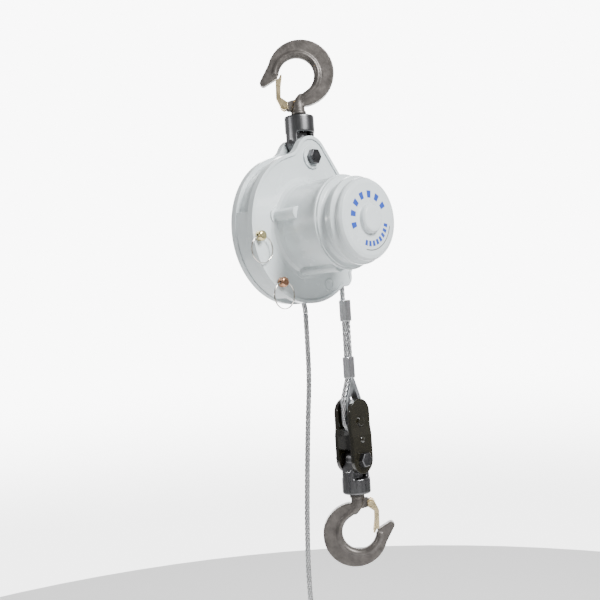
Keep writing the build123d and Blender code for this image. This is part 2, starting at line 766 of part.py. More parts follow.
def make_latch(plane, name):
    """The sprung latch: a folded channel on its pin, and the coil of its spring."""
    outline = [(-9.6, -31.0), (-13.5, -32.4), (-16.2, -30.6), (-20.4, -21), (-19.8, -4.2), (-16.6, -2.0),
               (-15.0, 1.2), (-13.6, 1.0), (-15.4, -9), (-16.0, -20), (-9.6, -25.0)]
    inside = [(x + 1.5, z) for x, z in outline]
    with BuildPart() as latch:
        with BuildSketch(plane):
            with BuildLine():
                Polyline(outline, close=True)
            make_face()
        extrude(amount=4.4, both=True)
        with BuildSketch(plane):
            with BuildLine():
                Polyline(inside, close=True)
            make_face()
            with Locations((-13.4, -33), (-9, -24.6)):
                Rectangle(10, 9)
        extrude(amount=3.0, both=True, mode=Mode.SUBTRACT)
        with BuildSketch(plane):
            with Locations(LATCH_PIVOT):
                Circle(LATCH_PIN_R + RUN)
        extrude(amount=8, both=True, mode=Mode.SUBTRACT)
    save(latch.part, f"{name}_latch")
    with BuildPart() as pin:
        with BuildSketch(plane):
            with Locations(LATCH_PIVOT):
                Circle(LATCH_PIN_R)
        extrude(amount=5.2, both=True)
        with BuildSketch(plane.offset(4.6)):
            with Locations(LATCH_PIVOT):
                Circle(2.4)
        extrude(amount=1.2)
        with BuildSketch(plane.offset(-4.6)):
            with Locations(LATCH_PIVOT):
                Circle(2.4)
        extrude(amount=-1.2)
    save(pin.part, f"{name}_latch_pin")


def make_hook_nut(plane, stem, label):
    """The round nut that holds a hook in its yoke."""
    base = Plane(origin=plane.from_local_coords((0, stem - 9, 0)), x_dir=plane.x_dir, z_dir=plane.y_dir)
    with BuildPart() as nut:
        with BuildSketch(base):
            Circle(NUT_R)
            Circle(SHANK_R, mode=Mode.SUBTRACT)
        extrude(amount=8.6)
        with BuildSketch(base):
            with PolarLocations(NUT_R, 4):
                Rectangle(2.4, 2.2)
        extrude(amount=3, mode=Mode.SUBTRACT)
    save(nut.part, label)


def make_bolt(x, z, front, back, head, label_bolt, label_nut):
    """A hex bolt along Y with its head in front, and the nut behind."""
    with BuildPart() as bolt:
        with BuildSketch(Plane(origin=(x, -front, z), x_dir=(1, 0, 0), z_dir=(0, -1, 0))):
            hexagon(BOLT_FLATS)
        extrude(amount=head)
        chamfer(bolt.faces().sort_by(Axis.Y)[0].edges(), length=0.9)
        with BuildSketch(Plane(origin=(x, -front, z), x_dir=(1, 0, 0), z_dir=(0, -1, 0))):
            Circle(BOLT_R)
        extrude(amount=-(front - back) - 9)
    save(bolt.part, label_bolt)
    with BuildPart() as nut:
        with BuildSketch(Plane(origin=(x, -back, z), x_dir=(1, 0, 0), z_dir=(0, -1, 0))):
            hexagon(BOLT_FLATS)
            Circle(BOLT_R, mode=Mode.SUBTRACT)
        extrude(amount=-6.8)
    save(nut.part, label_nut)


# ---------------------------------------------------------------- load line
def eye_face(inset):
    """The area inside the rope's eye, shrunk by an inset from the rope's centre line."""
    with BuildSketch() as eye:
        with BuildLine():
            FilletPolyline((LOOP_X, EYE_TOP + 6), (LOOP_X - EYE_HALF, EYE_SHOULDER),
                           (LOOP_X - EYE_HALF, EYE_BOTTOM), (LOOP_X + EYE_HALF, EYE_BOTTOM),
                           (LOOP_X + EYE_HALF, EYE_SHOULDER),
                           radius=[3, EYE_RADII[1], EYE_RADII[2], EYE_RADII[2], EYE_RADII[1]], close=True)
        make_face()
        offset(amount=-inset)
    return eye.sketch


def make_load_rope():
    """The load side of the rope: down through both ferrules, round the thimble and back up."""
    near = ROPE_R + 0.1
    middle = front_plane(0)
    with BuildLine(middle) as route:
        FilletPolyline((LOAD_X, -0.5), (LOAD_X, EYE_TOP), (LOOP_X - EYE_HALF, EYE_SHOULDER),
                       (LOOP_X - EYE_HALF, EYE_BOTTOM), (LOOP_X + EYE_HALF, EYE_BOTTOM),
                       (LOOP_X + EYE_HALF, EYE_SHOULDER), (LOOP_X + near, EYE_TOP),
                       (LOOP_X + near, FERRULES[0][1] + 4), radius=[*EYE_RADII, *reversed(EYE_RADII)])
    with BuildPart() as rope:
        with BuildSketch(Plane(origin=middle.from_local_coords((LOAD_X, -0.5, 0)), z_dir=(0, 0, -1))):
            Circle(ROPE_R)
        sweep(path=route.wires()[0])
    save(rope.part, "load_rope")
    length = route.wires()[0].length
    print("load rope volume", round(rope.part.volume), "section times length",
          round(math.pi * ROPE_R ** 2 * length))
    return rope.part


def make_ferrules(rope):
    """Two pressed sleeves that clamp the strands."""
    with BuildPart() as ferrules:
        for top, bottom in FERRULES:
            with BuildSketch(Plane.XY.offset(AXIS_Z + bottom)):
                with Locations((AXIS_X + LOOP_X, 0)):
                    SlotCenterToCenter(5.2, 8.0)
            extrude(amount=top - bottom)
        fillet(ferrules.edges().filter_by(GeomType.CIRCLE), radius=0.9)
        add(rope, mode=Mode.SUBTRACT)
    solids = sorted(ferrules.part.solids(), key=lambda solid: -solid.volume)[:2]
    save(Compound(children=solids), "ferrules")


def make_thimble():
    """The grooved liner of the rope's eye."""
    with BuildPart() as thimble:
        with BuildSketch(front_plane(-3.2)):
            add(eye_face(ROPE_R + 0.1))
        extrude(amount=6.4)
        for back in (-4.4, 3.2):
            with BuildSketch(front_plane(back)):
                add(eye_face(0.6))
            extrude(amount=1.2)
        with BuildSketch(front_plane(-6)):
            add(eye_face(ROPE_R + 2.2))
        extrude(amount=12, mode=Mode.SUBTRACT)
    save(thimble.part, "thimble")


def make_link():
    """Two joggled side plates, the pin through the thimble, and the link bolt and nut."""
    upper, lower, thick = 6.6, 7.8, 4.0
    bottom = LINK_BOLT_Z - PLATE_HALF
    with BuildSketch() as outline:
        with Locations((LOOP_X, (PLATE_TOP + bottom) / 2)):
            SlotOverall(PLATE_TOP - bottom, 2 * PLATE_HALF, rotation=90)
    for label, side in (("link_plate_front", 1), ("link_plate_rear", -1)):
        profile = [(upper, 5), (upper, -195), (lower, -203), (lower, -260), (lower + thick, -260),
                   (lower + thick, -202), (upper + thick, -194), (upper + thick, 5)]
        with BuildPart() as plate:
            with BuildSketch(Plane(origin=(AXIS_X + LOOP_X - 20, 0, AXIS_Z), x_dir=(0, -1, 0),
                                   z_dir=(-1, 0, 0))):
                with BuildLine():
                    Polyline([(side * y, z) for y, z in profile], close=True)
                make_face()
            extrude(amount=-40)
            with BuildSketch(front_plane(-20)):
                add(outline.sketch)
            extrude(amount=40, mode=Mode.INTERSECT)
            with BuildSketch(front_plane(-20)):
                with Locations((LOOP_X, THIMBLE_Z)):
                    Circle(THIMBLE_PIN_NECK)
                with Locations((LOOP_X, LINK_BOLT_Z)):
                    Circle(BOLT_R)
            extrude(amount=40, mode=Mode.SUBTRACT)
        save(plate.part, label)
    with BuildPart() as pin:
        centre = front_plane(0, LOOP_X, THIMBLE_Z)
        with BuildSketch(centre):
            Circle(THIMBLE_PIN_R)
        extrude(amount=upper, both=True)
        with BuildSketch(centre):
            Circle(THIMBLE_PIN_NECK)
        extrude(amount=upper + thick + 0.1, both=True)
        for front in (upper + thick, -upper - thick - 1.6):
            with BuildSketch(front_plane(front, LOOP_X, THIMBLE_Z)):
                Circle(4.4)
            extrude(amount=1.6)
    save(pin.part, "thimble_pin")
    make_bolt(AXIS_X + LOOP_X, AXIS_Z + LINK_BOLT_Z, lower + thick, -lower - thick, 5.3,
              "link_bolt", "link_nut")


# ---------------------------------------------------------------- rope on the sheave, tail and coil
def make_rope_on_sheave():
    """The rope round the sheave and its bend down to the tail."""
    leave = polar(SHEAVE_R, LEAVE_ANGLE)
    heading = (-math.sin(math.radians(LEAVE_ANGLE)), math.cos(math.radians(LEAVE_ANGLE)))
    bend = (TAIL_X - leave[0]) / (1 + heading[1])
    centre = (leave[0] + bend * heading[1], leave[1] - bend * heading[0])
    middle = front_plane(0)
    with BuildLine(middle) as route:
        CenterArc((0, 0), SHEAVE_R, 0, LEAVE_ANGLE)
        CenterArc(centre, bend, LEAVE_ANGLE - 180, 180 - LEAVE_ANGLE)
    with BuildPart() as rope:
        with BuildSketch(Plane(origin=middle.from_local_coords((SHEAVE_R, 0, 0)), z_dir=(0, 0, 1))):
            Circle(ROPE_R)
        sweep(path=route.wires()[0])
    save(rope.part, "rope_on_sheave")
    return centre[1]


def tail_point(step, z):
    """A point of the tail, in the object's frame."""
    return (AXIS_X + TAIL_X + FACING.X * step, FACING.Y * step, AXIS_Z + z)


def make_tail(exit_z):
    """The free tail, as straight runs joined by arcs as large as the runs allow."""
    points = [Vector(*tail_point(0, exit_z))] + [Vector(*tail_point(*place)) for place in TAIL]
    radii = []
    for before, corner, after in zip(points, points[1:], points[2:]):
        turn = math.radians((corner - before).get_angle(after - corner))
        run = min((corner - before).length, (after - corner).length)
        radii.append(0.45 * run / math.tan(turn / 2))
    print("tail radii", [round(radius) for radius in radii])
    with BuildLine() as route:
        FilletPolyline(*points, radius=radii)
    wire = route.wires()[0]
    with BuildPart() as tail:
        with BuildSketch(Plane(origin=points[0], z_dir=points[1] - points[0])):
            Circle(ROPE_R)
        sweep(path=wire)
    save(tail.part, "rope_tail")
    print("tail volume", round(tail.part.volume), "section times length",
          round(math.pi * ROPE_R ** 2 * wire.length), "length", round(wire.length))
    return points[-1]


def make_coil(joint):
    """The stored rope: a coil as one solid, two ties and the sleeve on the rope's end."""
    centre = joint + Vector(0, 0, ROPE_R - COIL_R - COIL_SECTION_R) + FACING * 4
    plane = Plane(origin=centre, x_dir=FACING, z_dir=HOOK_NORMAL)
    spin = Axis(centre, HOOK_NORMAL)
    with BuildPart() as coil:
        with Locations(plane):
            Torus(COIL_R, COIL_SECTION_R)
    save(coil.part, "rope_coil")
    with BuildPart() as ties:
        for angle in (35, 215):
            with BuildSketch(Plane(origin=centre, x_dir=FACING, z_dir=FACING.cross(HOOK_NORMAL))) as band:
                with Locations((COIL_R, 0)):
                    Circle(COIL_SECTION_R + 1.2)
                    Circle(COIL_SECTION_R, mode=Mode.SUBTRACT)
            add(revolve(band.sketch, axis=spin, revolution_arc=9, mode=Mode.PRIVATE).rotate(spin, angle))
    save(ties.part, "coil_ties")
    inside = centre + Vector(0, 0, COIL_SECTION_R - COIL_R + 3.6) - FACING * 8
    with BuildPart() as end:
        with BuildSketch(Plane(origin=inside, z_dir=FACING)):
            Circle(3.4)
        extrude(amount=16)
        fillet(end.edges(), radius=0.8)
    save(end.part, "rope_end")


# ---------------------------------------------------------------- build
def main():
    os.makedirs("parts", exist_ok=True)
    make_front_casing()
    make_rear_casing()
    make_casing_screws()
    make_brake_cover()
    make_rope_guide()
    make_pressure_roller()
    for name, angle in PIN_ANGLES.items():
        make_guide_pin(name, angle)
        make_guide_ring(name, angle)
    make_sheave()
    make_sheave_bearings()
    make_ring_gear()
    make_carriers()
    make_planets()
    make_sun_gears()
    make_input_shaft()
    make_brake()
    make_pawls()

    ear_x, ear_z = AXIS_X + EAR[0], AXIS_Z + EAR[1]
    make_bolt(ear_x, ear_z, 14.4, -13.8, 5.3, "ear_bolt", "ear_nut")
    top_yoke = yoke_plane(ear_x, ear_z)
    make_yoke(top_yoke, TOP_STEM, TOP_COLLAR, "top_yoke")
    make_hook_nut(top_yoke, TOP_STEM, "top_hook_nut")
    top_bowl = hook_plane(ear_x, ear_z + TOP_STEM + TOP_COLLAR + COLLAR_TO_BOWL)
    make_hook(top_bowl, "top_hook")
    make_latch(top_bowl, "top")

    make_ferrules(make_load_rope())
    make_thimble()
    make_link()
    load_x, bolt_z = AXIS_X + LOOP_X, AXIS_Z + LINK_BOLT_Z
    lower_yoke = yoke_plane(load_x, bolt_z, up=False)
    make_yoke(lower_yoke, LOWER_STEM, LOWER_COLLAR, "lower_yoke")
    make_hook_nut(lower_yoke, LOWER_STEM, "lower_hook_nut")
    lower_bowl = hook_plane(load_x, bolt_z - LOWER_STEM - LOWER_COLLAR - COLLAR_TO_BOWL, up=False)
    make_hook(lower_bowl, "lower_hook")
    make_latch(lower_bowl, "lower")

    make_coil(make_tail(make_rope_on_sheave()))


main()
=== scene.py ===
import json
import math

import bmesh
import bpy
from mathutils import Matrix, Quaternion, Vector


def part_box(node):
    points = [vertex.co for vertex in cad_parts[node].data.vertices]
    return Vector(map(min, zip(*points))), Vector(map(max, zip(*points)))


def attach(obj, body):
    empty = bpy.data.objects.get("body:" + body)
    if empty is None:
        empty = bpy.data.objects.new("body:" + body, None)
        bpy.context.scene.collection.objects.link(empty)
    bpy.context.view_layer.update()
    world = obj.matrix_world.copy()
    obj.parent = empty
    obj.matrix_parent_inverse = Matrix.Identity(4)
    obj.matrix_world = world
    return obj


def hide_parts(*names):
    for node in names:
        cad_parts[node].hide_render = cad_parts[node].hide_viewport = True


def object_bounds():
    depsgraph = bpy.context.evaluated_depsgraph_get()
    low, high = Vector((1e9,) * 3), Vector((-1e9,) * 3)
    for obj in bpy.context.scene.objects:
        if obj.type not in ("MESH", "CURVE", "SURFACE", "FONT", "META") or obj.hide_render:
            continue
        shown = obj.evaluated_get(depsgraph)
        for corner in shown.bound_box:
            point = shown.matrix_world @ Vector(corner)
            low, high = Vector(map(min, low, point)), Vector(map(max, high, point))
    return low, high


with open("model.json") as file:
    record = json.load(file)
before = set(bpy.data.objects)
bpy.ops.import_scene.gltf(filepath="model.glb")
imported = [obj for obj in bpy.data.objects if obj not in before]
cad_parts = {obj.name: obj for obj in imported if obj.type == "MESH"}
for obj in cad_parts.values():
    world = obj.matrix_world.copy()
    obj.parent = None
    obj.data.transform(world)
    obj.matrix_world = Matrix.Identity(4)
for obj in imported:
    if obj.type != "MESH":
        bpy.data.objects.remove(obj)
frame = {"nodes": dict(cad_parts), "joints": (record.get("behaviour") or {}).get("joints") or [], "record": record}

CAD_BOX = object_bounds()
NODES = frame["nodes"]
MM = 0.001

# ---------------------------------------------------------------- places, from the frame
JOINTS = {joint["name"]: joint for joint in frame["joints"]}
AXIS = Vector(JOINTS["sheave_spin"]["pos_m"])  # a point on the machine axis
PLATE_FRONT = -13 * MM  # Y of the front plate's face
FACING = Vector((1, -1, 0)).normalized()  # the hooks lie in the plane of this direction and Z
TOWARDS_VIEWER = Vector((-1, -1, 0)).normalized()
UP = Vector((0, 0, 1))


def machine_point(x, z, front=0.0):
    """A point given in mm from the machine axis."""
    return Vector((AXIS.x + x * MM, -front * MM, AXIS.z + z * MM))


def spread(start, end, count):
    """Evenly spread numbers from start to end."""
    return [start + (end - start) * k / count for k in range(count + 1)]


# ---------------------------------------------------------------- camera
def make_camera():
    """A level camera at the front left, rolled a little, looking along the hooks' normal."""
    focal = 850 / 600  # in picture widths
    distance = 0.787
    roll = math.radians(3.7)
    aim = Vector((AXIS.x, PLATE_FRONT, AXIS.z))
    place = aim + TOWARDS_VIEWER * distance - FACING * 0.0115 - UP * 0.0662
    right = FACING * math.cos(roll) - UP * math.sin(roll)
    up = FACING * math.sin(roll) + UP * math.cos(roll)
    data = bpy.data.cameras.new("camera")
    data.sensor_width = 36
    data.lens = 36 * focal
    camera = bpy.data.objects.new("camera", data)
    turn = Matrix((right, up, TOWARDS_VIEWER)).transposed().to_4x4()
    camera.matrix_world = Matrix.Translation(place) @ turn
    bpy.context.collection.objects.link(camera)
    bpy.context.scene.camera = camera


make_camera()


# ---------------------------------------------------------------- light and floor
SKY_STRENGTH = 9.0
LAMPS = [  # name, place along FACING, TOWARDS_VIEWER and UP from the part's middle, size in m, power in W
    ("key", (0.75, 0.75, 0.85), 0.50, 45),
    ("rim", (-1.0, 0.25, 0.25), 0.08, 3.5),
    ("back", (0, -1.2, 0.7), 1.0, 2),
]
FLOOR_R = 1.5
FLOOR_DROP = 0.25  # below the part's lowest point


def area_light(name, place, aim, size, power):
    """A soft square lamp pointed at a place."""
    data = bpy.data.lights.new(name, "AREA")
    data.size = size
    data.energy = power
    lamp = bpy.data.objects.new(name, data)
    lamp.location = place
    lamp.rotation_euler = (Vector(aim) - Vector(place)).to_track_quat("-Z", "Y").to_euler()
    bpy.context.collection.objects.link(lamp)


def studio_sky(world):
    """A pale room: a bright patch straight behind the part, dimmer all round and below."""
    world.use_nodes = True
    nodes, links = world.node_tree.nodes, world.node_tree.links
    direction = nodes.new("ShaderNodeTexCoord").outputs["Generated"]

    def along(axis, *stops):
        """A grey level that changes with the direction's reach along an axis."""
        dot = nodes.new("ShaderNodeVectorMath")
        dot.operation = "DOT_PRODUCT"
        dot.inputs[1].default_value = axis
        links.new(direction, dot.inputs[0])
        reach = nodes.new("ShaderNodeMapRange")
        reach.inputs["From Min"].default_value = -1
        links.new(dot.outputs["Value"], reach.inputs["Value"])
        ramp = nodes.new("ShaderNodeValToRGB")
        ramp.color_ramp.interpolation = "EASE"
        while len(ramp.color_ramp.elements) < len(stops):
            ramp.color_ramp.elements.new(0.5)
        for element, (place, level) in zip(ramp.color_ramp.elements, stops):
            element.position = place
            element.color = (level, level, level, 1)
        links.new(reach.outputs["Result"], ramp.inputs["Fac"])
        return ramp.outputs["Color"]

    def product(first, second):
        """Two grey levels multiplied."""
        both = nodes.new("ShaderNodeMix")
        both.data_type = "RGBA"
        both.blend_type = "MULTIPLY"
        both.inputs[0].default_value = 1
        links.new(first, both.inputs[6])
        links.new(second, both.inputs[7])
        return both.outputs[2]

    depth = along(TOWARDS_VIEWER, (0.0, 1.0), (0.055, 1.0), (0.075, 0.09), (0.45, 0.040), (0.60, 0.032),
                  (1.0, 0.045))
    height = along(UP, (0.0, 0.25), (0.38, 0.5), (0.46, 1.0), (1.0, 1.0))
    links.new(product(depth, height), nodes["Background"].inputs["Color"])
    nodes["Background"].inputs["Strength"].default_value = SKY_STRENGTH


def make_studio():
    """The room, the lamps and a round pale floor well below the hanging part."""
    bpy.context.scene.world = bpy.data.worlds.new("studio")
    studio_sky(bpy.context.scene.world)
    middle = Vector((0, 0, -0.25))
    for name, (right, near, high), size, power in LAMPS:
        place = middle + FACING * right + TOWARDS_VIEWER * near + UP * high
        area_light(name, place, middle, size, power)
    mesh = bpy.data.meshes.new("floor")
    low, corners = CAD_BOX[0][2] - FLOOR_DROP, 96
    turns = [2 * math.pi * k / corners for k in range(corners)]
    mesh.from_pydata([(FLOOR_R * math.cos(turn), FLOOR_R * math.sin(turn), low) for turn in turns],
                     [], [range(corners)])
    floor = bpy.data.objects.new("floor", mesh)
    bpy.context.collection.objects.link(floor)
    paint = bpy.data.materials.new("floor")
    paint.use_nodes = True
    shader = paint.node_tree.nodes["Principled BSDF"]
    shader.inputs["Base Color"].default_value = (0.94, 0.94, 0.94, 1)
    shader.inputs["Roughness"].default_value = 0.9
    shader.inputs["Emission Color"].default_value = (1, 1, 1, 1)
    shader.inputs["Emission Strength"].default_value = 0.45
    mesh.materials.append(paint)


make_studio()


# ---------------------------------------------------------------- materials
class Shader:
    """Builds one material's node tree with short calls."""

    def __init__(self, name, **constants):
        self.material = bpy.data.materials.new(name)
        self.material.use_nodes = True
        self.tree = self.material.node_tree
        self.base = self.tree.nodes["Principled BSDF"]
        self.coordinates = self.tree.nodes.new("ShaderNodeTexCoord").outputs["Object"]
        for socket, value in constants.items():
            self.base.inputs[socket.replace("_", " ")].default_value = value

    def node(self, kind, inputs=(), **settings):
        """A new node with some settings, and some inputs linked or set."""
        made = self.tree.nodes.new("ShaderNode" + kind)
        for key, value in settings.items():
            setattr(made, key, value)
        for key, value in dict(inputs).items():
            if hasattr(value, "is_linked"):
                self.tree.links.new(value, made.inputs[key])
            else:
                made.inputs[key].default_value = value
        return made

    def noise(self, scale, detail=4.0, stretch=(1, 1, 1), roughness=0.55):
        """A noise value over the object's own coordinates."""
        placed = self.node("Mapping", {"Vector": self.coordinates, "Scale": stretch})
        return self.node("TexNoise", {"Vector": placed.outputs[0], "Scale": scale, "Detail": detail,
                                      "Roughness": roughness}).outputs["Fac"]

    def ramp(self, value, *stops):
        """A colour ramp; each stop is (place, colour)."""
        node = self.node("ValToRGB", {"Fac": value})
        while len(node.color_ramp.elements) < len(stops):
            node.color_ramp.elements.new(0.5)
        for element, (place, colour) in zip(node.color_ramp.elements, stops):
            element.position = place
            element.color = (*colour, 1)
        return node.outputs["Color"]

    def levels(self, value, low, high, start=0.3, end=0.7):
        """A value mapped from start..end to low..high."""
        return self.node("MapRange", {"Value": value, "From Min": start, "From Max": end,
                                      "To Min": low, "To Max": high}).outputs["Result"]

    def mix(self, factor, first, second, blend="MIX"):
        """Two colours mixed."""
        node = self.tree.nodes.new("ShaderNodeMix")
        node.data_type = "RGBA"
        node.blend_type = blend
        for socket, value in ((node.inputs[0], factor), (node.inputs[6], first), (node.inputs[7], second)):
            if hasattr(value, "is_linked"):
                self.tree.links.new(value, socket)
            elif isinstance(value, tuple):
                socket.default_value = (*value, 1)
            else:
                socket.default_value = value
        return node.outputs[2]

    def worn_edges(self, radius=0.002):
        """High where the surface turns sharply, for wear along edges."""
        bevel = self.node("Bevel", {"Radius": radius}, samples=4)
        normal = self.node("NewGeometry").outputs["Normal"]
        turn = self.node("VectorMath", {0: bevel.outputs[0], 1: normal}, operation="DOT_PRODUCT")
        return self.levels(turn.outputs["Value"], 1.0, 0.0, 0.75, 0.99)

    def height(self, *layers, edge=0.0006):
        """Edges rounded by a radius, and bump from (value, strength, distance) layers."""
        normal = self.node("Bevel", {"Radius": edge}, samples=6).outputs["Normal"]
        for value, strength, distance in layers:
            normal = self.node("Bump", {"Height": value, "Strength": strength, "Distance": distance,
                                        "Normal": normal}).outputs["Normal"]
        self.link(normal, "Normal")

    def link(self, value, socket):
        self.tree.links.new(value, self.base.inputs[socket])


def painted(name, colour, rough=0.26, edge=0.0009, coat=0.5):
    """Gloss paint over a casting, with a fine orange peel, faint dirt and rubbed edges."""
    made = Shader(name, Coat_Weight=coat, Coat_Roughness=0.10)
    dark = tuple(part * 0.92 for part in colour)
    body = made.ramp(made.noise(22, 5), (0.35, dark), (0.65, colour))
    spots = made.levels(made.noise(900, 2), 0.0, 0.35, 0.72, 0.80)
    body = made.mix(spots, body, tuple(part * 0.35 for part in colour))
    rubbed = made.mix(made.worn_edges(0.0007), (0, 0, 0),
                      made.ramp(made.noise(150, 5), (0.52, (0, 0, 0)), (0.66, (0.6, 0.6, 0.6))), "MULTIPLY")
    made.link(made.mix(rubbed, body, tuple(min(part * 1.25 + 0.05, 0.8) for part in colour)), "Base Color")
    made.link(made.levels(made.noise(60, 4), rough - 0.05, rough + 0.10), "Roughness")
    made.height((made.noise(420, 2), 0.05, 0.0006), (made.noise(55, 3), 0.12, 0.0006), edge=edge)
    return made.material


def metal(name, colour, rough, stretch=(1, 1, 1), edge=0.0004):
    """Bare or plated metal with patches, fine grain and uneven gloss."""
    made = Shader(name, Metallic=1.0)
    dull = tuple(part * 0.82 for part in colour)
    made.link(made.ramp(made.noise(70, 5), (0.35, dull), (0.66, colour)), "Base Color")
    made.link(made.levels(made.noise(180, 4, stretch), rough - 0.07, rough + 0.12), "Roughness")
    made.height((made.noise(700, 3, stretch), 0.08, 0.0004), edge=edge)
    return made.material


def forged(name, colour, bright):
    """Forged steel under thin dark paint: pitted, with brighter worn edges."""
    made = Shader(name, Metallic=0.6)
    dark = tuple(part * 0.55 for part in colour)
    skin = made.ramp(made.noise(95, 6), (0.33, dark), (0.68, colour))
    wear = made.mix(made.worn_edges(0.0014), (0, 0, 0),
                    made.ramp(made.noise(260, 4), (0.36, (0, 0, 0)), (0.60, (1, 1, 1))), "MULTIPLY")
    made.link(made.mix(wear, skin, bright), "Base Color")
    made.link(made.levels(made.noise(240, 5), 0.30, 0.52), "Roughness")
    made.height((made.noise(420, 5), 0.22, 0.0006), (made.noise(60, 3), 0.22, 0.0010), edge=0.0012)
    return made.material


def laid_wire(name, colour):
    """Galvanised wire rope: crowns in the wire's colour, with painted shade darkening the valleys between strands
    and the gaps between the fine wires of each strand.
    """
    made = Shader(name, Metallic=0.9)
    crown = made.node("Attribute", attribute_name="crown").outputs["Fac"]
    along = made.node("Attribute", attribute_name="wires").outputs["Fac"]
    wave = made.node("Math", {0: along, 1: 2 * math.pi}, operation="MULTIPLY").outputs[0]
    wires = made.levels(made.node("Math", {0: wave}, operation="SINE").outputs[0], 0.0, 1.0, -1.0, 1.0)
    # Painted shade: the colour darkens from the crowns to nearly black at the bottom of the valleys between
    # strands.
    shade = made.ramp(crown, (0.0, (0.05, 0.05, 0.052)), (0.45, tuple(0.55 * part for part in colour)),
                      (0.85, colour))
    dull = made.ramp(made.noise(140, 4), (0.3, (0.72, 0.72, 0.72)), (0.7, (1, 1, 1)))
    shade = made.mix(1.0, shade, dull, "MULTIPLY")
    # Painted shade in the gaps between the fine wires, on top of their bump.
    painted_gap_shade = made.ramp(wires, (0.0, (0.55, 0.55, 0.56)), (0.4, (1, 1, 1)))
    made.link(made.mix(1.0, shade, painted_gap_shade, "MULTIPLY"), "Base Color")
    made.link(made.levels(made.noise(200, 3), 0.24, 0.42), "Roughness")
    made.height((wires, 0.35, 0.0002), (made.noise(500, 2), 0.06, 0.0003), edge=0.0001)
    return made.material


MATERIALS = {
    "grey_paint": painted("grey_paint", (0.60, 0.65, 0.66), rough=0.20),
    "black_gloss": painted("black_gloss", (0.010, 0.0088, 0.0045), rough=0.12, edge=0.0012, coat=0.6),
    "black_bolt": metal("black_bolt", (0.11, 0.11, 0.115), 0.30),
    "forged_steel": forged("forged_steel", (0.135, 0.123, 0.114), (0.38, 0.35, 0.32)),
    "dark_steel": metal("dark_steel", (0.155, 0.155, 0.16), 0.31, stretch=(1, 1, 0.05), edge=0.001),
    "yellow_zinc": metal("yellow_zinc", (0.90, 0.74, 0.44), 0.25),
    "brass": metal("brass", (0.80, 0.67, 0.36), 0.20),
    "copper": metal("copper", (0.58, 0.32, 0.20), 0.24),
    "nickel": metal("nickel", (0.74, 0.71, 0.66), 0.16, edge=0.0001),
    "wire_rope": laid_wire("wire_rope", (0.74, 0.75, 0.76)),
    "aluminium": metal("aluminium", (0.72, 0.73, 0.75), 0.26, stretch=(1, 1, 0.04)),
    "galvanised": metal("galvanised", (0.60, 0.63, 0.65), 0.34),
    "nylon": painted("nylon", (0.050, 0.050, 0.055), rough=0.45),
    "tie_strap": painted("tie_strap", (0.03, 0.03, 0.035), rough=0.6, coat=0.0),
    "bronze": metal("bronze", (0.62, 0.44, 0.24), 0.3),
    "friction_lining": painted("friction_lining", (0.20, 0.13, 0.09), rough=0.6, coat=0.0),
    "steel": metal("steel", (0.60, 0.61, 0.63), 0.26),
    "blue_ink": painted("blue_ink", (0.022, 0.062, 0.36), rough=0.35, edge=0.0001, coat=0.2),
    "dark_ink": painted("dark_ink", (0.06, 0.06, 0.065), rough=0.35, edge=0.0001, coat=0.2),
}


def dress_nodes():
    """Every carried-over node takes the material of its slot."""
    for row in frame["record"]["subparts"]:
        mesh = NODES[row["node"]].data
        mesh.materials.clear()
        mesh.materials.append(MATERIALS[row["material_slot"]])


dress_nodes()


def piece(name, mesh, slot, body, *replaced, smooth=True):
    """A finished piece: linked, dressed, riding on its body."""
    made = bpy.data.objects.new(name, mesh)
    bpy.context.collection.objects.link(made)
    mesh.materials.append(MATERIALS[slot])
    if smooth:
        mesh.shade_smooth()
    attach(made, body)
    if replaced:
        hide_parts(*replaced)
    return made


def finished(made, name):
    """A mesh from a finished bmesh, which is freed."""
    mesh = bpy.data.meshes.new(name)
    made.to_mesh(mesh)
    made.free()
    return mesh


def skin(made, rings):
    """Faces between one ring of points and the next, closed at both ends."""
    sides = len(rings[0])
    for low, high in zip(rings, rings[1:]):
        for k in range(sides):
            made.faces.new((low[k], low[(k + 1) % sides], high[(k + 1) % sides], high[k]))
    made.faces.new(reversed(rings[0]))
    made.faces.new(rings[-1])


def spaced(points, step):
    """Points every step along a polyline, with both ends kept."""
    lengths = [0.0]
    for before, after in zip(points, points[1:]):
        lengths.append(lengths[-1] + (after - before).length)
    count = max(2, round(lengths[-1] / step))
    found, index = [], 0
    for k in range(count + 1):
        want = lengths[-1] * k / count
        while index < len(points) - 2 and lengths[index + 1] < want:
            index += 1
        span = lengths[index + 1] - lengths[index]
        found.append(points[index].lerp(points[index + 1], (want - lengths[index]) / span if span else 0))
    return found


def nurbs_line(name, points):
    """The smooth line of a NURBS route, as points, read from an unbevelled curve."""
    data = bpy.data.curves.new(name, "CURVE")
    data.dimensions = "3D"
    spline = data.splines.new("NURBS")
    spline.points.add(len(points) - 1)
    for control, point in zip(spline.points, points):
        control.co = (*point, 1)
    spline.order_u = 3
    spline.use_endpoint_u = True
    spline.resolution_u = 8
    holder = bpy.data.objects.new(name, data)
    bpy.context.collection.objects.link(holder)
    mesh = bpy.data.meshes.new_from_object(holder)
    line = [vertex.co.copy() for vertex in mesh.vertices]
    bpy.data.objects.remove(holder)
    bpy.data.curves.remove(data)
    bpy.data.meshes.remove(mesh)
    return line


STRANDS = 6
LAY = 30 * MM  # length of one turn of a strand
WIRE_PITCH = 1.6 * MM  # between the fine wires that cross a strand


def strand_radius(angle, radius):
    """The rope's outline at an angle: six round strands with the valleys between them."""
    half_lobe = math.pi / STRANDS
    off = (angle + half_lobe) % (2 * half_lobe) - half_lobe
    centre, strand = radius * 2 / 3, radius / 3
    inside = max(strand ** 2 - (centre * math.sin(off)) ** 2, 0)
    return max(centre * math.cos(off) + math.sqrt(inside), radius * 0.76)


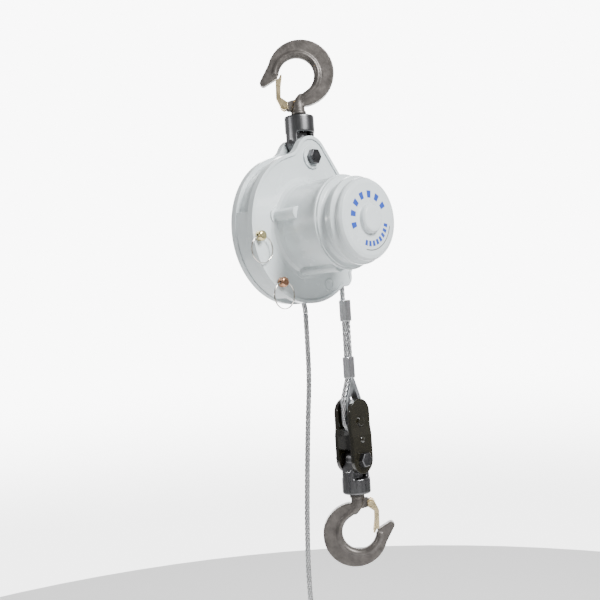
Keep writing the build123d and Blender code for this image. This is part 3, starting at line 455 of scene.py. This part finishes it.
def rope_mesh(name, line, radius, step=2.4 * MM, sides=24):
    """A laid wire rope along a line: a tube whose six-lobed section twists with the lay."""
    points = spaced(line, step)
    made = bmesh.new()
    crown = made.verts.layers.float.new("crown")
    wires = made.verts.layers.float.new("wires")
    side = None
    rings, travelled = [], 0.0
    for index, point in enumerate(points):
        after = points[min(index + 1, len(points) - 1)]
        before = points[max(index - 1, 0)]
        along = (after - before).normalized()
        if side is None:
            side = along.orthogonal().normalized()
        side = (side - along * side.dot(along)).normalized()
        other = along.cross(side)
        if index:
            travelled += (point - points[index - 1]).length
        twist = 2 * math.pi * travelled / LAY
        ring = []
        for k in range(sides):
            angle = 2 * math.pi * k / sides
            reach = strand_radius(angle, radius)
            turned = angle + twist
            spot = made.verts.new(point + (side * math.cos(turned) + other * math.sin(turned)) * reach)
            spot[crown] = (reach / radius - 0.76) / 0.24
            spot[wires] = travelled / WIRE_PITCH
            ring.append(spot)
        rings.append(ring)
    skin(made, rings)
    return finished(made, name)


# ---------------------------------------------------------------- rope: wrap, tail, coil
ROPE_R = 2.5 * MM
SHEAVE_R = 56 * MM
TAIL_X = 3 * MM
EXIT_Z = AXIS.z - 79.2 * MM
TAIL = [  # along the hooks' plane from the exit, and height from the machine axis, in mm
    (0, -108), (-0.6, -142), (-4.4, -182), (-8.0, -228), (-11.2, -276), (-13.0, -320), (-12.4, -362),
    (-4.0, -386), (14.0, -400), (36.0, -404),
]
COIL_R = 30 * MM
COIL_SECTION_R = 16 * MM


def tail_route():
    """The free rope's listed points, from the exit to the coil."""
    start = Vector((AXIS.x + TAIL_X, 0, EXIT_Z))
    points = [start]
    for step, height in TAIL:
        points.append(Vector((AXIS.x + TAIL_X, 0, AXIS.z + height * MM)) + FACING * (step * MM))
    return points


def coil_places():
    """Where each turn lies in the coil's section: rows of a close packing, outermost first."""
    gap = 5.25 * MM
    row = gap * math.sqrt(3) / 2
    reach = COIL_SECTION_R - ROPE_R + 0.2 * MM
    places = []
    count = math.floor(reach / row)
    for level in range(count, -count - 1, -1):
        radial = level * row
        half = math.sqrt(max(reach ** 2 - radial ** 2, 0))
        shift = gap / 2 if level % 2 else 0
        line = [shift + k * gap for k in range(-8, 9) if abs(shift + k * gap) <= half]
        if (count - level) % 2:
            line.reverse()
        places += [(radial, axial) for axial in line]
    return places


def coil_route(centre):
    """The coil's turns as control points, clockwise from the top."""
    per_turn = 16
    swell = 1 / (0.75 + 0.25 * math.cos(2 * math.pi / per_turn))  # the spline runs inside its points
    places = coil_places()
    points = []
    for index, (radial, axial) in enumerate(places):
        following = places[min(index + 1, len(places) - 1)]
        for k in range(per_turn):
            share = min(max((k - 9) / 6, 0), 1)
            r = COIL_R + radial + (following[0] - radial) * share
            a = axial + (following[1] - axial) * share
            angle = math.radians(84) - 2 * math.pi * k / per_turn
            arm = FACING * math.cos(angle) + UP * math.sin(angle)
            points.append(centre + arm * (r * swell) + TOWARDS_VIEWER * a)
    return points


def make_free_rope():
    """The tail and the coil as one rope, run into the rope end's sleeve."""
    tail = tail_route()
    centre = tail[-1] + UP * (ROPE_R - COIL_R - COIL_SECTION_R) + FACING * (4 * MM)
    turns = coil_route(centre)
    low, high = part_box("rope_end")
    sleeve = (Vector(low) + Vector(high)) / 2
    finish = [sleeve + FACING * (22 * MM) + UP * (5 * MM), sleeve + FACING * (13 * MM) + UP * (0.8 * MM),
              sleeve + FACING * (4 * MM)]
    line = nurbs_line("free_rope_route", tail + turns + finish)
    length = sum((b - a).length for a, b in zip(line, line[1:]))
    print("free rope length", round(length, 3), "turns", len(coil_places()))
    rope = piece("free_rope", rope_mesh("free_rope", line, ROPE_R, 3.0 * MM, 18), "wire_rope", "casing",
                 "rope_tail", "rope_coil")


make_free_rope()


# ---------------------------------------------------------------- rope inside and on the load side
def rounded_route(corners, radii):
    """A polyline with arcs at its inner corners."""
    steps = 10
    route = [corners[0]]
    for before, corner, after, radius in zip(corners, corners[1:], corners[2:], radii):
        arrive, leave = (corner - before).normalized(), (after - corner).normalized()
        turn = arrive.angle(leave)
        cut = radius * math.tan(turn / 2)
        inward = (leave - arrive).normalized()
        centre = corner + inward * (radius / math.cos(turn / 2))
        start = corner - arrive * cut - centre
        for k in range(steps + 1):
            spin = Quaternion(arrive.cross(leave), turn * k / steps)
            route.append(centre + spin @ start)
    route.append(corners[-1])
    return route


SHEAVE_LEAVE = 253.5  # degrees round the sheave where the free rope leaves it
LOAD_X = 56  # the load line's first strand, in mm from the machine axis like the other sizes here
LOOP_X = 58.6  # middle of its two strands
EYE_TOP, EYE_SHOULDER, EYE_BOTTOM = -146, -167, -198
EYE_HALF = 11
EYE_RADII = (12, 14, 10.9)
RETURN_END = -86  # end of the returned strand, in the upper ferrule


def make_inner_ropes():
    """The rope round the sheave with its bend to the exit, and the load side with its eye."""
    sheave_r = SHEAVE_R / MM
    wrap = [machine_point(sheave_r * math.cos(math.radians(a)), sheave_r * math.sin(math.radians(a)))
            for a in spread(0, SHEAVE_LEAVE, 90)]
    lean = math.radians(SHEAVE_LEAVE)
    bend = (TAIL_X / MM - sheave_r * math.cos(lean)) / (1 + math.cos(lean))
    middle = ((sheave_r + bend) * math.cos(lean), (sheave_r + bend) * math.sin(lean))
    for a in spread(SHEAVE_LEAVE - 180, 0, 14)[1:]:
        wrap.append(machine_point(middle[0] + bend * math.cos(math.radians(a)),
                                  middle[1] + bend * math.sin(math.radians(a))))
    piece("rope_round_sheave", rope_mesh("rope_round_sheave", wrap, ROPE_R), "wire_rope", "casing",
          "rope_on_sheave")
    left, right, back = LOOP_X - EYE_HALF, LOOP_X + EYE_HALF, 2 * LOOP_X - LOAD_X
    corners = [(LOAD_X, -0.5), (LOAD_X, EYE_TOP), (left, EYE_SHOULDER), (left, EYE_BOTTOM),
               (right, EYE_BOTTOM), (right, EYE_SHOULDER), (back, EYE_TOP), (back, RETURN_END)]
    radii = [radius * MM for radius in (*EYE_RADII, *reversed(EYE_RADII))]
    load = rounded_route([machine_point(*corner) for corner in corners], radii)
    piece("load_side_rope", rope_mesh("load_side_rope", load, ROPE_R), "wire_rope", "load_line",
          "load_rope")


make_inner_ropes()


# ---------------------------------------------------------------- pull rings, cap marks, rivets
def tube(name, line, radius):
    """A plain round wire along a line."""
    made = bmesh.new()
    turns = spread(0, 2 * math.pi, 12)[:-1]
    rings, side = [], None
    for index, point in enumerate(line):
        along = (line[min(index + 1, len(line) - 1)] - line[max(index - 1, 0)]).normalized()
        side = along.orthogonal() if side is None else side
        side = (side - along * side.dot(along)).normalized()
        other = along.cross(side)
        rings.append([made.verts.new(point + (side * math.cos(t) + other * math.sin(t)) * radius)
                      for t in turns])
    skin(made, rings)
    return finished(made, name)


SPLIT_RING_R = 12.2 * MM
SPLIT_WIRE_R = 0.38 * MM
SPLIT_SHIFT = 0.42 * MM  # of each turn to its side


def make_split_rings():
    """Each pull ring as two close turns of wire."""
    for name in ("upper", "lower"):
        low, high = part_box(f"guide_ring_{name}")
        centre = (Vector(low) + Vector(high)) / 2
        line = []
        for t in spread(0, 2, 120):
            angle = math.radians(60) + 2 * math.pi * t
            shift = SPLIT_SHIFT * max(-1, min(1, (t - 1) * 12))
            line.append(centre + Vector((math.cos(angle) * SPLIT_RING_R, shift,
                                         math.sin(angle) * SPLIT_RING_R)))
        piece(f"split_ring_{name}", tube(f"split_ring_{name}", line, SPLIT_WIRE_R), "nickel",
              f"guide_ring_{name}", f"guide_ring_{name}")


def arc_bar(made, radius, width, start, end, front, thick):
    """One flat bar bent round the machine axis, added to a mesh."""
    steps = spread(start, end, max(2, round(abs(end - start) / 4)))
    rows = []
    for a in steps:
        turn = math.radians(a)
        row = []
        for r, f in ((radius - width / 2, front), (radius + width / 2, front),
                     (radius + width / 2, front + thick), (radius - width / 2, front + thick)):
            row.append(made.verts.new(machine_point(r * math.cos(turn), r * math.sin(turn), f)))
        rows.append(row)
    for before, after in zip(rows, rows[1:]):
        for k in range(4):
            made.faces.new((before[k], before[(k + 1) % 4], after[(k + 1) % 4], after[k]))
    made.faces.new(rows[0])
    made.faces.new(reversed(rows[-1]))


INK_FRONT = 87.97  # just under the cover's face, so that the ink stands 0.07 mm proud
INK_THICK = 0.1
BAR_ROWS = [  # radius, width, half of a bar's angle, angles of the first and last bar, bars less one
    (21.4, 6.2, 6.4, 196, 34, 6),
    (21.6, 4.8, 4.0, -14, -106, 7),
]
ARC = (27.2, 0.8, -12, -104)  # radius, width, start and end


def make_cap_marks():
    """Plain printed bars on the cover's face, in place of lettering."""
    bars = [(radius, width, angle - half, angle + half)
            for radius, width, half, start, end, count in BAR_ROWS for angle in spread(start, end, count)]
    for name, slot, rows in (("cap_bars", "blue_ink", bars), ("cap_arc", "dark_ink", [ARC])):
        made = bmesh.new()
        for radius, width, start, end in rows:
            arc_bar(made, radius, width, start, end, INK_FRONT, INK_THICK)
        bmesh.ops.recalc_face_normals(made, faces=made.faces)
        piece(name, finished(made, name), slot, "casing", smooth=False)


RIVET_R = 3.2 * MM
RIVET_RISE = 1.3 * MM
RIVET_Z = -206
PLATE_FACE = 11.8  # outer face of a link plate below its step, from the rope's plane


def make_plate_rivets():
    """A flat domed rivet on the outside of each link plate, just below its step."""
    for name, side in (("front", 1), ("rear", -1)):
        made = bmesh.new()
        bmesh.ops.create_uvsphere(made, u_segments=32, v_segments=16, radius=RIVET_R)
        bmesh.ops.scale(made, vec=(1, RIVET_RISE / RIVET_R, 1), verts=made.verts)
        bmesh.ops.translate(made, vec=machine_point(LOOP_X, RIVET_Z, side * PLATE_FACE), verts=made.verts)
        piece(f"plate_rivet_{name}", finished(made, f"plate_rivet_{name}"), "black_gloss", "link")


make_split_rings()
make_cap_marks()
make_plate_rivets()


# ---------------------------------------------------------------- softer forgings
SMOOTH_ROUNDS = 3
VOXELS = {"top_hook": 0.5 * MM, "lower_hook": 0.5 * MM, "top_yoke": 0.7 * MM, "lower_yoke": 0.7 * MM}


def soften(node, voxel):
    """Rounds a forging's edges with a fine remesh and smoothing."""
    made = NODES[node]
    remesh = made.modifiers.new("remesh", "REMESH")
    remesh.mode = "VOXEL"
    remesh.voxel_size = voxel
    remesh.use_smooth_shade = True
    smooth = made.modifiers.new("smooth", "SMOOTH")
    smooth.factor = 0.5
    smooth.iterations = SMOOTH_ROUNDS


for forging, voxel in VOXELS.items():
    soften(forging, voxel)
